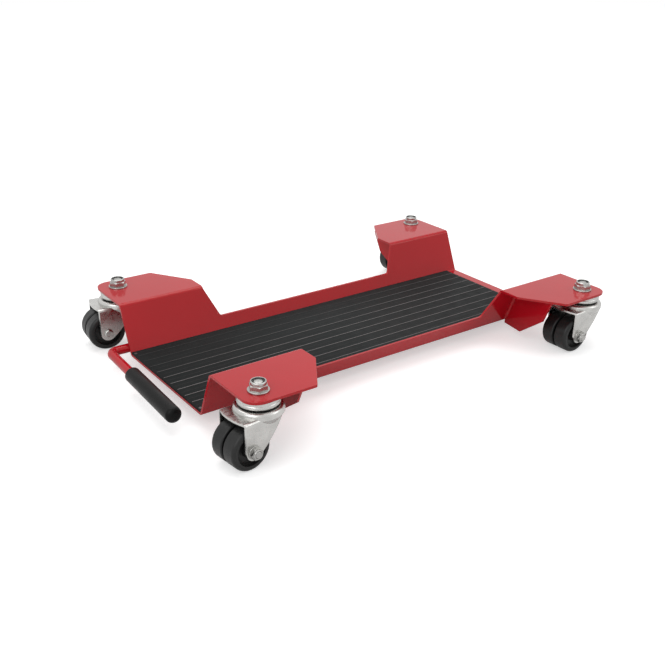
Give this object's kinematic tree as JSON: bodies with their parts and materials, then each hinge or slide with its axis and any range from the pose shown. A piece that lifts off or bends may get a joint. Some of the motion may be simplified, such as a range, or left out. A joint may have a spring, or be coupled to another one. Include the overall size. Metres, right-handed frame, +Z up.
{
  "type": "motorcycle mover dolly",
  "caption": "Low bent-steel dolly tray with a ribbed rubber mat, welded rod handle and a twin-wheel swivel caster under each corner ear.",
  "frame": {"origin": "on the ground, below the middle of the whole object's box", "axes": "+X along the tray from the handle end to the far end, +Y across towards the handle's welded side, +Z up"},
  "size_m": [0.6171, 0.431, 0.092],
  "materials": {
    "red_paint": "glossy red powder coat with a slight orange peel",
    "mat_rubber": "matt black rubber with fine raised lines",
    "grip_rubber": "satin black rubber sleeve",
    "wheel_black": "satin black nylon",
    "seal_black": "matt black",
    "zinc_bright": "bright zinc plate, turned",
    "zinc_pressed": "bright zinc plate over pressed sheet",
    "steel_sleeve": "oiled bare steel",
    "ball_steel": "polished bearing steel"
  },
  "bodies": {
    "frame": {"deck_tray": "red_paint", "rubber_mat": "mat_rubber", "mat_rivets": "zinc_bright", "gusset_near_front": "red_paint", "gusset_far_front": "red_paint", "gusset_near_rear": "red_paint", "gusset_far_rear": "red_paint", "handle_rod": "red_paint", "handle_grip": "grip_rubber", "king_nuts": "zinc_bright", "king_washers": "zinc_bright", "race_seals": "seal_black", "king_bolt_near_front": "zinc_bright", "king_bolt_far_front": "zinc_bright", "king_bolt_near_rear": "zinc_bright", "king_bolt_far_rear": "zinc_bright", "king_sleeve_near_front": "steel_sleeve", "king_sleeve_far_front": "steel_sleeve", "king_sleeve_near_rear": "steel_sleeve", "king_sleeve_far_rear": "steel_sleeve", "race_near_front": "zinc_pressed", "race_far_front": "zinc_pressed", "race_near_rear": "zinc_pressed", "race_far_rear": "zinc_pressed"},
    "caster_near_front": {"yoke_near_front": "zinc_pressed", "balls_near_front": "ball_steel", "axle_bolt_near_front": "zinc_bright", "axle_nut_near_front": "zinc_bright", "axle_washer_near_front": "zinc_bright", "axle_sleeve_near_front": "steel_sleeve"},
    "wheel_out_near_front": {"wheel_out_near_front": "wheel_black"},
    "wheel_in_near_front": {"wheel_in_near_front": "wheel_black"},
    "caster_far_front": {"yoke_far_front": "zinc_pressed", "balls_far_front": "ball_steel", "axle_bolt_far_front": "zinc_bright", "axle_nut_far_front": "zinc_bright", "axle_washer_far_front": "zinc_bright", "axle_sleeve_far_front": "steel_sleeve"},
    "wheel_out_far_front": {"wheel_out_far_front": "wheel_black"},
    "wheel_in_far_front": {"wheel_in_far_front": "wheel_black"},
    "caster_near_rear": {"yoke_near_rear": "zinc_pressed", "balls_near_rear": "ball_steel", "axle_bolt_near_rear": "zinc_bright", "axle_nut_near_rear": "zinc_bright", "axle_washer_near_rear": "zinc_bright", "axle_sleeve_near_rear": "steel_sleeve"},
    "wheel_out_near_rear": {"wheel_out_near_rear": "wheel_black"},
    "wheel_in_near_rear": {"wheel_in_near_rear": "wheel_black"},
    "caster_far_rear": {"yoke_far_rear": "zinc_pressed", "balls_far_rear": "ball_steel", "axle_bolt_far_rear": "zinc_bright", "axle_nut_far_rear": "zinc_bright", "axle_washer_far_rear": "zinc_bright", "axle_sleeve_far_rear": "steel_sleeve"},
    "wheel_out_far_rear": {"wheel_out_far_rear": "wheel_black"},
    "wheel_in_far_rear": {"wheel_in_far_rear": "wheel_black"}
  },
  "joints": [
    {"name": "swivel_near_front", "type": "hinge", "parent": "frame", "child": "caster_near_front", "pos_m": [-0.24274, -0.1805, 0.07], "axis": [0, 0, 1], "continuous": true},
    {"name": "swivel_far_front", "type": "hinge", "parent": "frame", "child": "caster_far_front", "pos_m": [-0.24274, 0.1805, 0.07], "axis": [0, 0, 1], "continuous": true},
    {"name": "swivel_near_rear", "type": "hinge", "parent": "frame", "child": "caster_near_rear", "pos_m": [0.28026, -0.1805, 0.07], "axis": [0, 0, 1], "continuous": true},
    {"name": "swivel_far_rear", "type": "hinge", "parent": "frame", "child": "caster_far_rear", "pos_m": [0.28026, 0.1805, 0.07], "axis": [0, 0, 1], "continuous": true},
    {"name": "spin_out_near_front", "type": "hinge", "parent": "caster_near_front", "child": "wheel_out_near_front", "pos_m": [-0.2676, -0.18311, 0.025], "axis": [0.1045, -0.9945, 0], "continuous": true},
    {"name": "spin_in_near_front", "type": "hinge", "parent": "caster_near_front", "child": "wheel_in_near_front", "pos_m": [-0.2676, -0.18311, 0.025], "axis": [0.1045, -0.9945, 0], "continuous": true},
    {"name": "spin_out_far_front", "type": "hinge", "parent": "caster_far_front", "child": "wheel_out_far_front", "pos_m": [-0.2676, 0.18311, 0.025], "axis": [0.1045, 0.9945, 0], "continuous": true},
    {"name": "spin_in_far_front", "type": "hinge", "parent": "caster_far_front", "child": "wheel_in_far_front", "pos_m": [-0.2676, 0.18311, 0.025], "axis": [0.1045, 0.9945, 0], "continuous": true},
    {"name": "spin_out_near_rear", "type": "hinge", "parent": "caster_near_rear", "child": "wheel_out_near_rear", "pos_m": [0.25526, -0.1805, 0.025], "axis": [0, -1, 0], "continuous": true},
    {"name": "spin_in_near_rear", "type": "hinge", "parent": "caster_near_rear", "child": "wheel_in_near_rear", "pos_m": [0.25526, -0.1805, 0.025], "axis": [0, -1, 0], "continuous": true},
    {"name": "spin_out_far_rear", "type": "hinge", "parent": "caster_far_rear", "child": "wheel_out_far_rear", "pos_m": [0.25526, 0.1805, 0.025], "axis": [0, 1, 0], "continuous": true},
    {"name": "spin_in_far_rear", "type": "hinge", "parent": "caster_far_rear", "child": "wheel_in_far_rear", "pos_m": [0.25526, 0.1805, 0.025], "axis": [0, 1, 0], "continuous": true}
  ]
}
